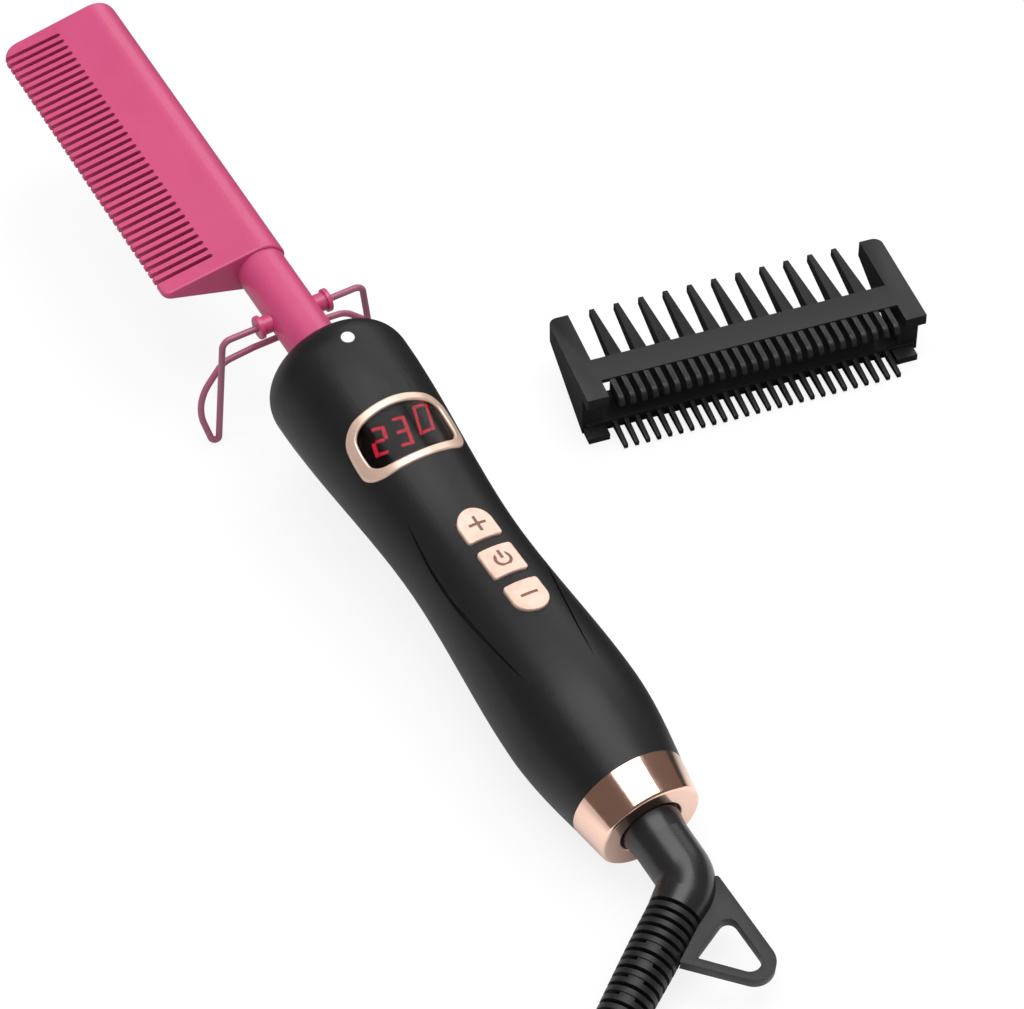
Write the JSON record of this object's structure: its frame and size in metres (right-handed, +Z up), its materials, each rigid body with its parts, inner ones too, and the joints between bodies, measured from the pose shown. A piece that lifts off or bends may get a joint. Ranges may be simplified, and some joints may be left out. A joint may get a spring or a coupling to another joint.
{
  "type": "electric hot comb",
  "caption": "Heated pressing comb with a slotted comb head, round neck, wire stand, waisted handle with display and buttons, swivel cord with coil and plug, and a loose guard comb.",
  "frame": {"origin": "middle of the underside of the box round the comb tool and its guard comb, without the cord, on the surface they lie on", "axes": "+Z up, +X along the tool from the cord end towards the comb as seen from above, +Y towards the side that the comb teeth point to"},
  "size_m": [0.4735, 0.2739, 0.0583],
  "materials": {
    "comb_coat": "satin pink baked coat",
    "wire_coat": "satin mauve-pink coat",
    "steel": "brushed",
    "brass": "plain",
    "ceramic": "glazed",
    "housing": "satin black",
    "inner_plastic": "matte",
    "rose_gold": "polished rose gold plating",
    "button_coat": "satin rose gold",
    "window": "smoked clear",
    "lit_red": "lit red",
    "lens": "frosted white",
    "board": "green solder mask",
    "component": "black epoxy",
    "rubber": "satin black",
    "guard": "fine grained black",
    "lead_insulation": "white sleeve"
  },
  "bodies": {
    "handle": {"comb_head": "comb_coat", "neck_tube": "comb_coat", "pivot_boss_left": "comb_coat", "pivot_boss_right": "comb_coat", "neck_bush": "inner_plastic", "heater_plate": "ceramic", "heater_clamps": "steel", "thermistor": "ceramic", "thermal_fuse": "steel", "sensor_holder": "ceramic", "heater_leads": "lead_insulation", "display_bezel": "rose_gold", "display_window": "window", "display_mask": "component", "lit_digits": "lit_red", "display_module": "inner_plastic", "indicator_lens": "lens", "switch_cases": "component", "handle_front_shell": "housing", "handle_back_shell": "housing", "shell_screws": "steel", "control_board": "board", "triac": "component", "filter_capacitor": "component", "controller_chip": "component", "mains_terminal": "inner_plastic", "buzzer": "component", "end_ring": "rose_gold", "swivel_retainer": "inner_plastic", "swivel_socket": "inner_plastic", "contact_springs": "brass", "mains_leads": "lead_insulation"},
    "stand": {"wire_stand": "wire_coat"},
    "plus_button": {"button_plus": "button_coat", "plunger_plus": "component"},
    "power_button": {"button_power": "button_coat", "plunger_power": "component"},
    "minus_button": {"button_minus": "button_coat", "plunger_minus": "component"},
    "swivel": {"swivel_hub": "inner_plastic", "contact_pin": "brass", "swivel_boot": "rubber", "strain_relief": "rubber", "hang_loop": "rubber", "power_cord": "rubber", "cord_coil": "rubber", "cord_tail": "rubber", "cord_tie": "inner_plastic", "plug_body": "rubber", "plug_pins": "brass"},
    "guard": {"guard_comb": "guard"}
  },
  "joints": [
    {"name": "stand_fold", "type": "hinge", "parent": "handle", "child": "stand", "pos_m": [0.05665, 0.05319, 0.03621], "axis": [0, 1, 0], "range_deg": [-30, 70]},
    {"name": "plus_press", "type": "slide", "parent": "handle", "child": "plus_button", "axis": [0.1211, 0.1097, -0.9866], "range_m": [0, 0.0006], "stiffness_N_per_m": 1200, "springref_m": -0.0006},
    {"name": "power_press", "type": "slide", "parent": "handle", "child": "power_button", "axis": [0.1211, 0.1097, -0.9866], "range_m": [0, 0.0006], "stiffness_N_per_m": 1200, "springref_m": -0.0006},
    {"name": "minus_press", "type": "slide", "parent": "handle", "child": "minus_button", "axis": [0.1211, 0.1097, -0.9866], "range_m": [0, 0.0006], "stiffness_N_per_m": 1200, "springref_m": -0.0006},
    {"name": "cord_swivel", "type": "hinge", "parent": "handle", "child": "swivel", "pos_m": [-0.12101, 0.05319, 0.01439], "axis": [0.9925, 0, 0.1219], "continuous": true},
    {"name": "guard_lift", "type": "slide", "parent": "handle", "child": "guard", "axis": [0, 0, 1], "range_m": [0, 0.04]}
  ]
}
